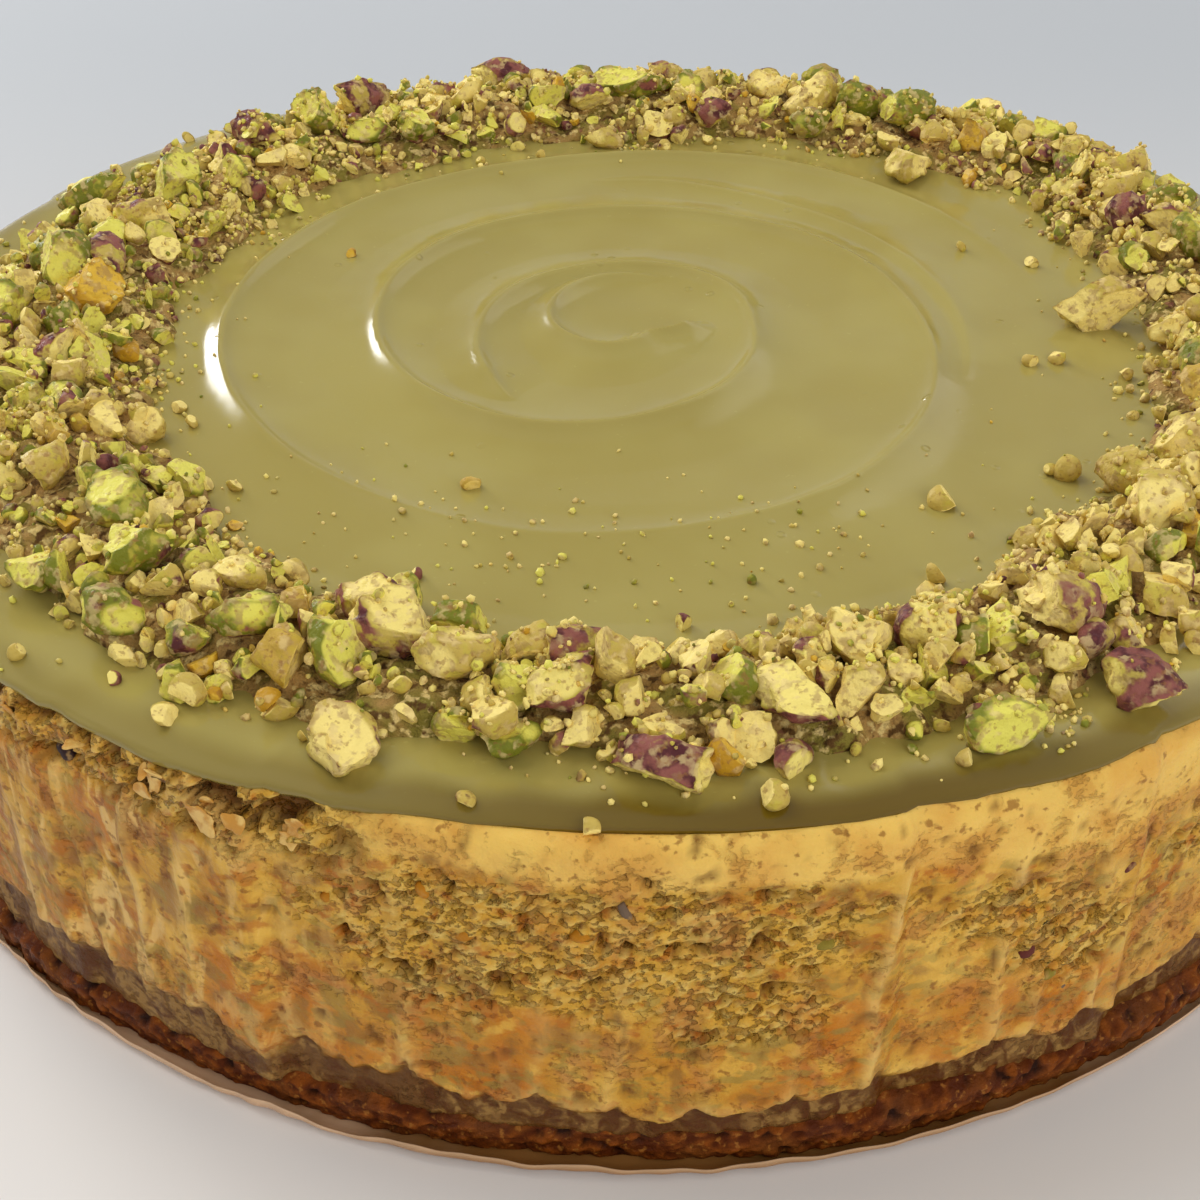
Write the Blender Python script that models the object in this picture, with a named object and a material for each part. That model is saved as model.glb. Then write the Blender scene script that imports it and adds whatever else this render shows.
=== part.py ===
"""A baked pistachio cheesecake: crumb base on its baking paper, tall baked filling, a swirled layer of
pistachio cream, and a heaped ring of chopped pistachios on top.

Metres, +Z up. The cake stands on the plane z = 0 and its centre line is the Z axis. Angles run
anticlockwise from +X, seen from above, and are in degrees wherever a table of places is written.
"""

import math

import bpy

# Driving dimensions
CAKE_RADIUS = 0.1150
CREAM_TOP = 0.0531
CREAM_THICKNESS = 0.0031
CRUST_THICKNESS = 0.0070
PAPER_THICKNESS = 0.0004
GAP = 0.0003

# Heights and radii that follow from them
CRUST_BOTTOM = PAPER_THICKNESS + GAP
CRUST_TOP = CRUST_BOTTOM + CRUST_THICKNESS
CREAM_BOTTOM = CREAM_TOP - CREAM_THICKNESS
FILLING_TOP = CREAM_BOTTOM - GAP
NUT_BOTTOM = CREAM_TOP + GAP
FLAT_RADIUS = 0.90 * CAKE_RADIUS

# Straight steps around the cake and between the turned sections
STATIONS = 80
TURN = 2 * math.pi

# Folds of the tin's paper lining, pressed into the side: place, step, degrees over which it rises
SIDE_FOLDS = (
    (-170, 0.0011, 22),
    (-148, 0.0013, 18),
    (-127, 0.0010, 14),
    (-112, 0.0018, 14),
    (-75, 0.0015, 26),
    (-59, 0.0018, 15),
    (-36, 0.0012, 20),
    (-12, 0.0016, 22),
    (12, 0.0010, 18),
    (38, 0.0018, 24),
    (66, 0.0011, 22),
    (93, 0.0016, 24),
    (121, 0.0010, 20),
    (152, 0.0016, 26),
)

# The lowest part of the side, drawn in under the baked lobes
DAMP_BAND = 0.0066
LOBE_DROP = 0.0026

# Spiral left by the palette knife, as shares of the cake's radius: one radius for each sixth of a turn,
# going clockwise, and the degrees at which each stroke begins
SWIRL_HEIGHT = 0.0016
SWIRL_REACH = 0.0046
SWIRL_STEP = 60
HOOK_START = 33
HOOK_RADII = (0.098, 0.033, 0.040, 0.075, 0.122, 0.166, 0.150)
SPIRAL_START = -120
SPIRAL_RADII = (
    0.236, 0.200, 0.195, 0.187, 0.161, 0.206, 0.290, 0.337, 0.380,
    0.379, 0.387, 0.462, 0.512, 0.540, 0.570, 0.610, 0.575,
)
SWIRL_LIMIT = 0.66 * CAKE_RADIUS
SWIRL_RINGS = 18

# Ring of nuts, as shares of the cake's radius, and its height above the cream
NUT_INNER = 0.640
NUT_OUTER = 0.940
NUT_HEIGHT = 0.0104
NUT_ARC_POINTS = 9


def wave(angle, *terms):
    """A closed wavy line, the sum of terms of size, count of waves around the cake and phase in degrees."""
    return sum(size * math.sin(count * angle + math.radians(phase)) for size, count, phase in terms)


def bump(angle, place, width):
    """1 at a place on the cake's edge, falling off smoothly to 0 at about twice the width, in degrees."""
    apart = (math.degrees(angle) - place + 180) % 360 - 180
    return math.exp(-((apart / width) ** 2))


def smooth(share):
    """0 below 0, 1 above 1, and an S-shaped step between."""
    share = min(max(share, 0.0), 1.0)
    return share * share * (3 - 2 * share)


def fold(angle):
    """How far the folds of the lining push the side out: a slow rise and then a sharp step back."""
    rise = 0.0
    for place, depth, run in SIDE_FOLDS:
        behind = (place - math.degrees(angle)) % 360
        if behind < run:
            rise += depth * (1 - behind / run)
    return rise


def side_radius(angle):
    return CAKE_RADIUS - 0.0006 + wave(angle, (0.0005, 3, 40), (0.0004, 7, 10)) + fold(angle)


def crust_radius(angle):
    return CAKE_RADIUS - 0.0003 + wave(angle, (0.0004, 5, 80), (0.0003, 13, 20), (0.0002, 23, 150))


def crust_edge_top(angle):
    return CRUST_TOP + wave(angle, (0.0005, 5, 0), (0.0002, 11, 70))


def lobe_height(angle):
    """Where the baked skin of the side begins, above the damp band: rounded lobes that hang down."""
    hanging = LOBE_DROP * abs(math.sin(7 * angle + 0.6))
    return CRUST_TOP + DAMP_BAND - hanging + wave(angle, (0.0016, 3, 120), (0.0006, 8, 30))


def paper_profile(angle):
    """Section of the baking paper: flat under the cake, with a thin frilled edge turned up around it."""
    shown = 1 - 0.75 * bump(angle, -45, 32)
    reach = CAKE_RADIUS + 0.0004 + 0.0012 * shown + wave(angle, (0.0002, 29, 0))
    rise = 0.0014 + 0.0014 * shown + wave(angle, (0.0004, 17, 40), (0.0003, 31, 0))
    half = PAPER_THICKNESS / 4
    return [
        (CAKE_RADIUS - 0.0020, 0.0),
        (CAKE_RADIUS + 0.0001, 0.0007),
        (reach + half, rise),
        (reach - half, rise + half),
        (CAKE_RADIUS - 0.0002, 0.0010),
        (CAKE_RADIUS - 0.0020, PAPER_THICKNESS),
    ]


def crust_profile(angle):
    """Section of the crumb base: pressed flat below, full at the side and uneven along its upper edge."""
    radius = crust_radius(angle)
    top = crust_edge_top(angle)
    return [
        (radius - 0.0019, CRUST_BOTTOM),
        (radius - 0.0010, CRUST_BOTTOM + 0.0012),
        (radius, CRUST_BOTTOM + 0.0035),
        (radius - 0.0002, top - 0.0010),
        (radius - 0.0013, top),
        (FLAT_RADIUS, CRUST_TOP),
    ]


def filling_profile(angle):
    """Section of the baked filling: drawn in above the crust, a straight side, and a rounded shoulder."""
    radius = side_radius(angle)
    bottom = crust_edge_top(angle) + GAP
    lobe = lobe_height(angle)
    middle = (lobe + FILLING_TOP) / 2
    return [
        (FLAT_RADIUS, CRUST_TOP + GAP),
        (CAKE_RADIUS - 0.0016, bottom),
        (CAKE_RADIUS - 0.0011, (bottom + lobe) / 2),
        (radius + 0.0002, lobe + 0.0012),
        (radius + 0.0007, lobe + 0.0060),
        (radius + 0.0005, middle),
        (radius, FILLING_TOP - 0.0060),
        (radius - 0.0007, FILLING_TOP - 0.0022),
        (radius - 0.0022, FILLING_TOP - 0.0004),
        (radius - 0.0050, FILLING_TOP),
    ]


def nut_inner(angle):
    drift = -0.055 * bump(angle, 180, 40) + 0.062 * bump(angle, -90, 30) + 0.062 * bump(angle, 47, 28)
    return CAKE_RADIUS * (NUT_INNER + drift + wave(angle, (0.010, 11, 30), (0.007, 19, 100)))


def nut_outer(angle):
    drift = 0.020 * bump(angle, 20, 50) - 0.015 * bump(angle, -100, 25)
    return CAKE_RADIUS * (NUT_OUTER + drift + wave(angle, (0.010, 9, 60), (0.008, 16, 0)))


def nut_profile(angle):
    """Closed section of the heap of nuts: flat on the cream, with a lumpy rounded back."""
    inner = nut_inner(angle)
    outer = nut_outer(angle)
    height = NUT_HEIGHT + wave(angle, (0.0010, 4, 200), (0.0009, 13, 0), (0.0006, 22, 45))
    points = [(inner, NUT_BOTTOM), (outer, NUT_BOTTOM)]
    for step in range(NUT_ARC_POINTS):
        share = (step + 0.5) / NUT_ARC_POINTS
        lump = 1 + wave(angle, (0.11, 21, 140 * step), (0.09, 33, 75 * step))
        back = math.sin(math.pi * share) ** 0.6
        points.append((outer + (inner - outer) * share, NUT_BOTTOM + height * back * lump))
    return points


def stroke_radius(radii, position):
    """Radius of a knife stroke, smoothly through its listed radii; position counts sixths of a turn."""
    index = min(int(position), len(radii) - 2)
    share = position - index
    before = radii[max(index - 1, 0)]
    start = radii[index]
    end = radii[index + 1]
    after = radii[min(index + 2, len(radii) - 1)]
    bend = 2 * before - 5 * start + 4 * end - after
    twist = 3 * start - before - 3 * end + after
    return CAKE_RADIUS * (start + share * (end - before + share * (bend + share * twist)) / 2)


def swirl_relief(angle, radius):
    """Height of the knife's ridges: sharp crests with hollow sides, fading at both ends of a stroke."""
    relief = 0.0
    for start, radii in ((HOOK_START, HOOK_RADII), (SPIRAL_START, SPIRAL_RADII)):
        last = len(radii) - 1
        position = ((start - math.degrees(angle)) % 360) / SWIRL_STEP
        while position <= last:
            crest = stroke_radius(radii, position)
            strength = smooth(2 * position) * smooth((last - position) / 1.5)
            relief = max(relief, strength * math.exp(-abs(radius - crest) / SWIRL_REACH))
            position += 360 / SWIRL_STEP
    fade = smooth((nut_inner(angle) - radius) / 0.004)
    return SWIRL_HEIGHT * relief * fade


def cream_profile(angle):
    """Section of the cream: a thin rounded lip at the edge, level under the nuts, ridged in the middle."""
    edge = side_radius(angle) - 0.0016 + wave(angle, (0.0003, 9, 0))
    points = [
        (edge - 0.0010, CREAM_BOTTOM),
        (edge, CREAM_BOTTOM + 0.0008),
        (edge - 0.0008, CREAM_BOTTOM + 0.0019),
        (edge - 0.0050, CREAM_TOP),
    ]
    for ring in range(SWIRL_RINGS):
        radius = SWIRL_LIMIT * (1 - ring / SWIRL_RINGS)
        points.append((radius, CREAM_TOP + swirl_relief(angle, radius)))
    return points


def point(angle, radius, height):
    return (radius * math.cos(angle), radius * math.sin(angle), height)


def turned_rings(profile):
    """The sections at every station, as rows of points, one row for each point of the section."""
    angles = [TURN * station / STATIONS for station in range(STATIONS)]
    sections = [profile(angle) for angle in angles]
    return [[point(a, *section[row]) for a, section in zip(angles, sections)] for row in range(len(sections[0]))]


def band(lower, upper):
    """Triangles between two rings of points, given by the index of each ring's first point."""
    faces = []
    for station in range(STATIONS):
        following = (station + 1) % STATIONS
        faces.append((lower + station, lower + following, upper + following))
        faces.append((lower + station, upper + following, upper + station))
    return faces


def disc_mesh(name, profile, low, high):
    """A closed disc: rings from the underside round to the top, and a fan at each end of the centre line."""
    rings = turned_rings(profile)
    points = [p for ring in rings for p in ring] + [(0, 0, low), (0, 0, high)]
    bottom_pole = len(points) - 2
    top_pole = len(points) - 1
    last = (len(rings) - 1) * STATIONS
    faces = []
    for row in range(len(rings) - 1):
        faces += band(row * STATIONS, (row + 1) * STATIONS)
    for station in range(STATIONS):
        following = (station + 1) % STATIONS
        faces.append((bottom_pole, following, station))
        faces.append((top_pole, last + station, last + following))
    mesh = bpy.data.meshes.new(name)
    mesh.from_pydata(points, [], faces)
    return mesh


def ring_mesh(name, profile):
    """A closed ring whose section runs once round and joins up with itself."""
    rings = turned_rings(profile)
    points = [p for ring in rings for p in ring]
    faces = []
    for row in range(len(rings)):
        faces += band(row * STATIONS, ((row + 1) % len(rings)) * STATIONS)
    mesh = bpy.data.meshes.new(name)
    mesh.from_pydata(points, [], faces)
    return mesh


def food_material(name, colour, roughness):
    material = bpy.data.materials.new(name)
    material.use_nodes = True
    shader = material.node_tree.nodes["Principled BSDF"]
    shader.inputs["Base Color"].default_value = (*colour, 1)
    shader.inputs["Roughness"].default_value = roughness
    shader.inputs["Metallic"].default_value = 0.0
    return material


def add_piece(name, mesh, colour, roughness):
    mesh.materials.append(food_material(name, colour, roughness))
    mesh.shade_smooth()
    mesh.set_sharp_from_angle(angle=math.radians(35))
    piece = bpy.data.objects.new(name, mesh)
    bpy.context.scene.collection.objects.link(piece)


def main():
    for old in list(bpy.data.objects):
        bpy.data.objects.remove(old)
    paper = disc_mesh("paper", paper_profile, 0.0, PAPER_THICKNESS)
    crust = disc_mesh("crust", crust_profile, CRUST_BOTTOM, CRUST_TOP)
    filling = disc_mesh("filling", filling_profile, CRUST_TOP + GAP, FILLING_TOP)
    cream = disc_mesh("cream", cream_profile, CREAM_BOTTOM, CREAM_TOP)
    nuts = ring_mesh("nut_ring", nut_profile)
    add_piece("paper", paper, (0.50, 0.34, 0.22), 0.6)
    add_piece("crust", crust, (0.13, 0.05, 0.015), 0.8)
    add_piece("filling", filling, (0.55, 0.33, 0.11), 0.55)
    add_piece("cream", cream, (0.37, 0.32, 0.10), 0.25)
    add_piece("nut_ring", nuts, (0.55, 0.50, 0.20), 0.6)


main()
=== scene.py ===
"""Looks of a baked pistachio cheesecake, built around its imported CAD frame.

The filling, crumb base, cream, baking paper and heap of nuts are rebuilt as detailed meshes in the space
that their CAD solids hold. Metres, +Z up; angles run anticlockwise from +X, seen from above.
"""

import math

import bmesh
import bpy
import numpy as np
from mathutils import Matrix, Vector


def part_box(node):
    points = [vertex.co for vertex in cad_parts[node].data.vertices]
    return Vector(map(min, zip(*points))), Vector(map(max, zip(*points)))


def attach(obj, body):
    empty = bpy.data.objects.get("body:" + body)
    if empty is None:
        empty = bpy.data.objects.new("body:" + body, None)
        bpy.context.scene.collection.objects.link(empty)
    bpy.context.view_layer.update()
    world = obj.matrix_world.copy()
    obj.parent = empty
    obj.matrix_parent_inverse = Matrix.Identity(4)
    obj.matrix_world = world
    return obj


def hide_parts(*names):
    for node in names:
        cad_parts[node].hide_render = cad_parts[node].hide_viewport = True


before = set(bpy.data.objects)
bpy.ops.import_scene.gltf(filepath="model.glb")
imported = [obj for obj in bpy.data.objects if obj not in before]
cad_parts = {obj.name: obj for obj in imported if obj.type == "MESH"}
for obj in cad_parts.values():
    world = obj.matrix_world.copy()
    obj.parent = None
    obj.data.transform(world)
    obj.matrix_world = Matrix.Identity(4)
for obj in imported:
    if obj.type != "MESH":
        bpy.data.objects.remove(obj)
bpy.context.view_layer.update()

MM = 0.001
TURN = 2 * math.pi

# Sizes taken from the frame
CRUST_LOW, CRUST_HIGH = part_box("crust")
FILLING_LOW, FILLING_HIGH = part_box("filling")
NUTS_LOW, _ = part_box("nut_ring")
RADIUS = (CRUST_HIGH.x - CRUST_LOW.x) / 2 + 0.3 * MM
CREAM_TOP = NUTS_LOW.z - 0.3 * MM
FILLING_TOP = FILLING_HIGH.z

# Folds of the tin's paper lining, pressed into the side: place, step in mm, degrees over which it rises
SIDE_FOLDS = (
    (-170, 1.1, 22), (-148, 1.3, 18), (-127, 1.0, 14), (-112, 1.8, 14), (-75, 1.5, 26),
    (-59, 1.8, 15), (-36, 1.2, 20), (-12, 1.6, 22), (12, 1.0, 18), (38, 1.8, 24),
    (66, 1.1, 22), (93, 1.6, 24), (121, 1.0, 20), (152, 1.6, 26),
)

# Strokes of the palette knife: the degrees at which each begins, its radius as a share of the cake's
# for each sixth of a turn, going clockwise, and how deep it is
SWIRL_STEP = 60
HOOK = (33, (0.098, 0.033, 0.040, 0.075, 0.122, 0.166, 0.150), 1.0)
SMEAR = (110, (0.530, 0.468, 0.440, 0.455), 0.5)
SPIRAL = (-120, (
    0.236, 0.200, 0.195, 0.187, 0.161, 0.206, 0.290, 0.337, 0.380,
    0.379, 0.387, 0.462, 0.512, 0.540, 0.570, 0.610, 0.575,
), 1.0)


# ---- numbers that many pieces share

def srgb(red, green, blue):
    """A colour written as 0 to 255 sRGB, turned to the linear values that a shader takes."""
    def linear(value):
        value /= 255
        return value / 12.92 if value <= 0.04045 else ((value + 0.055) / 1.055) ** 2.4
    return (linear(red), linear(green), linear(blue), 1)


def smooth(share):
    share = np.clip(share, 0, 1)
    return share * share * (3 - 2 * share)


def lattice(x, y, z, seed):
    """A repeatable random number from -1 to 1 for each whole-numbered place."""
    mixed = (x * 374761393 + y * 668265263 + z * 1274126177 + seed * 974711) & 0xFFFFFFFF
    mixed = ((mixed ^ (mixed >> 13)) * 1103515245) & 0xFFFFFFFF
    mixed = ((mixed ^ (mixed >> 16)) * 668265263) & 0xFFFFFFFF
    return ((mixed ^ (mixed >> 15)) & 0xFFFF) / 32767.5 - 1


def turned_axes(first, second):
    """A rotation by two angles, which keeps the noise from lining up with the axes."""
    cos_a, sin_a, cos_b, sin_b = math.cos(first), math.sin(first), math.cos(second), math.sin(second)
    about_z = np.array([[cos_a, -sin_a, 0], [sin_a, cos_a, 0], [0, 0, 1]])
    about_x = np.array([[1, 0, 0], [0, cos_b, -sin_b], [0, sin_b, cos_b]])
    return about_z @ about_x


NOISE_AXES = turned_axes(0.6, 0.9)
NOISE_REACH = 1.45


def noise(points, lump, seed=0):
    """Smooth noise from about -1 to 1 at an array of points, with lumps of a size in mm."""
    place = points @ NOISE_AXES / (lump * MM) + 512.0
    cell = np.floor(place).astype(np.int64)
    offset = place - cell
    share = offset ** 3 * (offset * (offset * 6 - 15) + 10)
    total = 0.0
    for corner in range(8):
        step = (corner & 1, corner >> 1 & 1, corner >> 2 & 1)
        x, y, z = (cell[..., axis] + step[axis] for axis in range(3))
        weight = NOISE_REACH
        slope = 0.0
        for axis in range(3):
            along = share[..., axis]
            weight = weight * (along if step[axis] else 1 - along)
            slope = slope + lattice(x, y, z, seed + 100 * axis + 7) * (offset[..., axis] - step[axis])
        total = total + weight * slope
    return total


def layered(points, lump, seed, layers=3):
    """Noise with finer, weaker noise added to it."""
    return sum(noise(points, lump / 2 ** layer, seed + layer) / 1.8 ** layer for layer in range(layers))


def around(radius, angle, height):
    """Points from cylindrical places, for arrays that broadcast together."""
    radius, angle, height = np.broadcast_arrays(radius, angle, height)
    return np.stack([radius * np.cos(angle), radius * np.sin(angle), height], axis=-1)


def once_round(columns):
    """Even angles once round the cake, and the points at its edge."""
    angles = np.arange(columns) * TURN / columns
    return angles, around(RADIUS, angles, 0)


def degrees_apart(angle, place):
    return (np.degrees(angle) - place + 180) % 360 - 180


def metres_apart(angle, place):
    """Distance along the edge between angles in radians."""
    return ((angle - place + math.pi) % TURN - math.pi) * RADIUS


def bump(angle, place, width):
    """1 at a place on the edge, in degrees, falling smoothly to 0 at about twice the width."""
    return np.exp(-((degrees_apart(angle, place) / width) ** 2))


# ---- meshes

def build_mesh(name, points, faces):
    mesh = bpy.data.meshes.new(name)
    mesh.vertices.add(len(points))
    mesh.vertices.foreach_set("co", np.asarray(points, np.float32).ravel())
    mesh.loops.add(faces.size)
    mesh.loops.foreach_set("vertex_index", faces.astype(np.int32).ravel())
    mesh.polygons.add(len(faces))
    mesh.polygons.foreach_set("loop_start", np.arange(0, faces.size, 3, dtype=np.int32))
    mesh.update(calc_edges=True)
    mesh.validate()
    mesh.shade_smooth()
    return mesh


def add_object(name, data):
    thing = bpy.data.objects.new(name, data)
    bpy.context.scene.collection.objects.link(thing)
    return thing


def add_piece(mesh, material, slot, replaced=None, **masks):
    """Adds a mesh under its own name, with masks for its points; the poles of a turned body have 0."""
    for mask, values in masks.items():
        attribute = mesh.attributes.new(mask, "FLOAT", "POINT")
        values = np.ravel(values).astype(np.float32)
        attribute.data.foreach_set("value", np.pad(values, (0, len(mesh.vertices) - len(values))))
    mesh.materials.append(material)
    piece = add_object(mesh.name, mesh)
    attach(piece, "root")
    if replaced:
        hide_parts(replaced)


def bands(rows, columns, joined):
    """Triangles over a grid whose columns close up; with joined, the last row meets the first too."""
    index = np.arange(rows * columns).reshape(rows, columns)
    lower = index if joined else index[:-1]
    upper = np.roll(index, -1, axis=0) if joined else index[1:]
    lower_next = np.roll(lower, -1, axis=1)
    upper_next = np.roll(upper, -1, axis=1)
    first = np.stack([lower, lower_next, upper_next], axis=-1).reshape(-1, 3)
    second = np.stack([lower, upper_next, upper], axis=-1).reshape(-1, 3)
    return np.concatenate([first, second])


def disc_faces(rows, columns):
    """Triangles of a turned body closed by a fan at each end; its two poles are the last two points."""
    station = np.arange(columns)
    following = np.roll(station, -1)
    low_pole = np.full(columns, rows * columns)
    last = (rows - 1) * columns
    bottom = np.stack([low_pole, following, station], axis=-1)
    top = np.stack([low_pole + 1, last + station, last + following], axis=-1)
    return np.concatenate([bands(rows, columns, False), bottom, top])


def turned_mesh(name, radius, height, angles, low, high):
    """A closed turned body from grids of radius and height, one row for each point of its section."""
    points = around(radius, angles, height).reshape(-1, 3)
    points = np.concatenate([points, [(0, 0, low), (0, 0, high)]])
    return build_mesh(name, points, disc_faces(*radius.shape))


# ---- materials

class Shader:
    """A Principled material, its base colour as painted so far, and short ways to wire its nodes."""

    def __init__(self, name, colour, roughness, specular=0.5):
        self.material = bpy.data.materials.new(name)
        self.material.use_nodes = True
        self.tree = self.material.node_tree
        self.surface = self.tree.nodes["Principled BSDF"]
        self.surface.inputs["Roughness"].default_value = roughness
        self.surface.inputs["Specular IOR Level"].default_value = specular
        self.colour = colour

    def feed(self, socket, value):
        if isinstance(value, bpy.types.NodeSocket):
            self.tree.links.new(value, socket)
        else:
            socket.default_value = value

    def node(self, kind, **inputs):
        node = self.tree.nodes.new("ShaderNode" + kind)
        for name, value in inputs.items():
            self.feed(node.inputs[name], value)
        return node

    def mask(self, name):
        node = self.node("Attribute")
        node.attribute_name = name
        return node.outputs["Fac"]

    def place(self, stretch=(1, 1, 1)):
        coordinates = self.node("TexCoord")
        return self.node("Mapping", Vector=coordinates.outputs["Object"], Scale=stretch).outputs["Vector"]

    def noise(self, lump, detail=3.0, stretch=(1, 1, 1), distortion=0.0, offset=None):
        """Blender's noise with lumps of a size in mm, from about 0.3 to 0.7."""
        scale = 1 / (lump * MM)
        place = self.place(stretch)
        node = self.node("TexNoise", Vector=place, Scale=scale, Detail=detail, Distortion=distortion)
        if offset is not None:
            node.noise_dimensions = "4D"
            self.feed(node.inputs["W"], offset)
        return node.outputs["Fac"]

    def cells(self, size):
        """Distance from the middle of each of many cells of a size in mm."""
        return self.node("TexVoronoi", Vector=self.place(), Scale=1 / (size * MM)).outputs["Distance"]

    def math(self, operation, first, second):
        node = self.node("Math")
        node.operation = operation
        self.feed(node.inputs[0], first)
        self.feed(node.inputs[1], second)
        return node.outputs[0]

    def times(self, first, second):
        return self.math("MULTIPLY", first, second)

    def plus(self, first, second):
        return self.math("ADD", first, second)

    def larger(self, first, second):
        return self.math("MAXIMUM", first, second)

    def ramp(self, value, low, high, start=0.0, end=1.0):
        """value from low to high, eased and mapped to start to end."""
        node = self.node("MapRange", Value=value)
        node.interpolation_type = "SMOOTHSTEP"
        for name, number in zip(("From Min", "From Max", "To Min", "To Max"), (low, high, start, end)):
            node.inputs[name].default_value = number
        return node.outputs["Result"]

    def mix(self, share, first, second):
        """Between two colours, each from another node or written as 0 to 255 sRGB."""
        node = self.node("Mix")
        node.data_type = "RGBA"
        for index, value in ((0, share), (6, first), (7, second)):
            self.feed(node.inputs[index], srgb(*value) if isinstance(value, tuple) else value)
        return node.outputs[2]

    def paint(self, share, colour):
        self.colour = self.mix(share, self.colour, colour)

    def paint_where(self, value, low, high, colour, most=1.0):
        """Paints by nothing where a value is low, up to a share of most where it is high."""
        self.paint(self.ramp(value, low, high, 0, most), colour)

    def add_bump(self, height, depth, strength=1.0):
        """Fine relief of the surface, depth metres for a height of 1."""
        node = self.node("Bump", Strength=strength, Distance=depth, Height=height)
        self.tree.links.new(node.outputs["Normal"], self.surface.inputs["Normal"])

    def finish(self, roughness=None, soft=0.0):
        self.feed(self.surface.inputs["Base Color"], self.colour)
        if roughness is not None:
            self.feed(self.surface.inputs["Roughness"], roughness)
        if soft:
            self.surface.inputs["Subsurface Weight"].default_value = soft
            self.surface.inputs["Subsurface Scale"].default_value = 2 * MM
            self.surface.inputs["Subsurface Radius"].default_value = (1.0, 0.6, 0.3)
        return self.material


# ---- outline shared by side and cream

def fold(angle):
    """How far the folds of the lining push the side out: a slow rise and then a sharp step back."""
    rise = np.zeros_like(angle)
    for place, step, run in SIDE_FOLDS:
        behind = (place - np.degrees(angle)) % 360
        past = 360 - behind
        rise += step * MM * np.where(behind < run, 1 - behind / run, np.exp(-((past / 0.8) ** 2)))
    return rise


def side_radius(angle):
    slow = 0.5 * np.sin(3 * angle + 0.7) + 0.4 * np.sin(7 * angle + 0.17)
    return RADIUS - 0.6 * MM + slow * MM + fold(angle)


def cream_edge(angle):
    """Where the cream ends: inside the side, but running smoothly past its folds."""
    nearby = np.radians(np.linspace(-5, 5, 11))
    even = sum(side_radius(angle + step) for step in nearby) / len(nearby)
    inset = 1.3 + 1.7 * bump(angle, -88, 16)
    return np.minimum(even, side_radius(angle)) - inset * MM


# ---- filling

FILLING_COLUMNS = 1060
SIDE_ROWS = 78
SHOULDER_ROWS = 8
SHOULDER = 2.6 * MM
BRIM = FILLING_TOP + 1.9 * MM
HOLLOWS = 420

# Upright edges, in degrees, between the flat panels that the creased lining pressed into the side
FRONT_EDGES = (
    -131, -128, -125, -120, -116, -109.5, -103, -95, -90.5, -86, -80, -75.2, -67.5, -64.8, -61.3,
)

# Places where the skin came off with the lining and the open crumb shows:
# place in degrees, height, half width in degrees, half height, both heights in mm
CRUMB_PATCHES = (
    (-93, 37, 14, 8.5), (-100, 30, 5, 5), (-84, 27, 4.5, 5), (-67, 34, 4, 4.5), (-63, 28, 3.5, 6),
    (-45, 34, 9, 6), (-20, 38, 8, 6), (2, 30, 7, 6), (24, 38, 11, 6), (52, 32, 8, 7), (78, 39, 9, 6),
    (104, 33, 12, 7), (131, 40, 7, 6), (158, 32, 10, 7), (181, 38, 9, 6), (206, 36, 8, 6),
)

# Stretches of the rim torn open under the cream: middle and half width in degrees
TORN_RIMS = ((-129, 9), (-117, 6), (-109, 4), (-40, 7), (15, 8), (70, 9), (118, 7), (170, 10), (206, 8))


def panel_edges():
    """Angles of the upright edges, from the front once round."""
    random = np.random.default_rng(5)
    edges = list(FRONT_EDGES)
    while edges[-1] < FRONT_EDGES[0] + 360 - 15:
        edges.append(edges[-1] + random.choice((2.5, 4, 6, 9, 12)) * random.uniform(0.8, 1.2))
    return np.radians(edges)


def across_panels(angle, edges):
    """For every angle, its place across its panel from -1 to 1, and the number of that panel."""
    turned = (angle - edges[0]) % TURN
    starts = edges - edges[0]
    ends = np.append(starts[1:], TURN)
    panel = np.searchsorted(starts, turned, side="right") - 1
    return 2 * (turned - starts[panel]) / (ends[panel] - starts[panel]) - 1, panel


def lobe_height(angle, edges):
    """Lower edge of the baked skin: each panel ends in a rounded lobe over the damp band."""
    random = np.random.default_rng(6)
    across, panel = across_panels(angle, edges)
    drop = random.uniform(-1.3, 1.3, len(edges))[panel]
    slow = 1.3 * np.sin(3 * angle + 2.6) - 2.6 * bump(angle, -86, 9) + 0.5 * np.sin(8 * angle + 0.5)
    return (12.6 + slow + (2.6 + drop) * np.abs(across) ** 3.5 - 0.6 * drop) * MM


def crumb_patches(angle, height):
    """How much of the open crumb shows, from below 0 on whole skin to 1."""
    found = np.full(height.shape, -1.0)
    for place, middle, half_width, half_height in CRUMB_PATCHES:
        across = degrees_apart(angle, place) / half_width
        up = (height / MM - middle) / half_height
        found = np.maximum(found, 1.35 - np.hypot(across, up))
    return found


def torn_rim(angle, height):
    """How torn the upper rim is, from 0 to 1."""
    torn = sum(bump(angle, place, width) for place, width in TORN_RIMS)
    return np.clip(torn, 0, 1) * smooth((height - 42.5 * MM) / (3.5 * MM))


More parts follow.
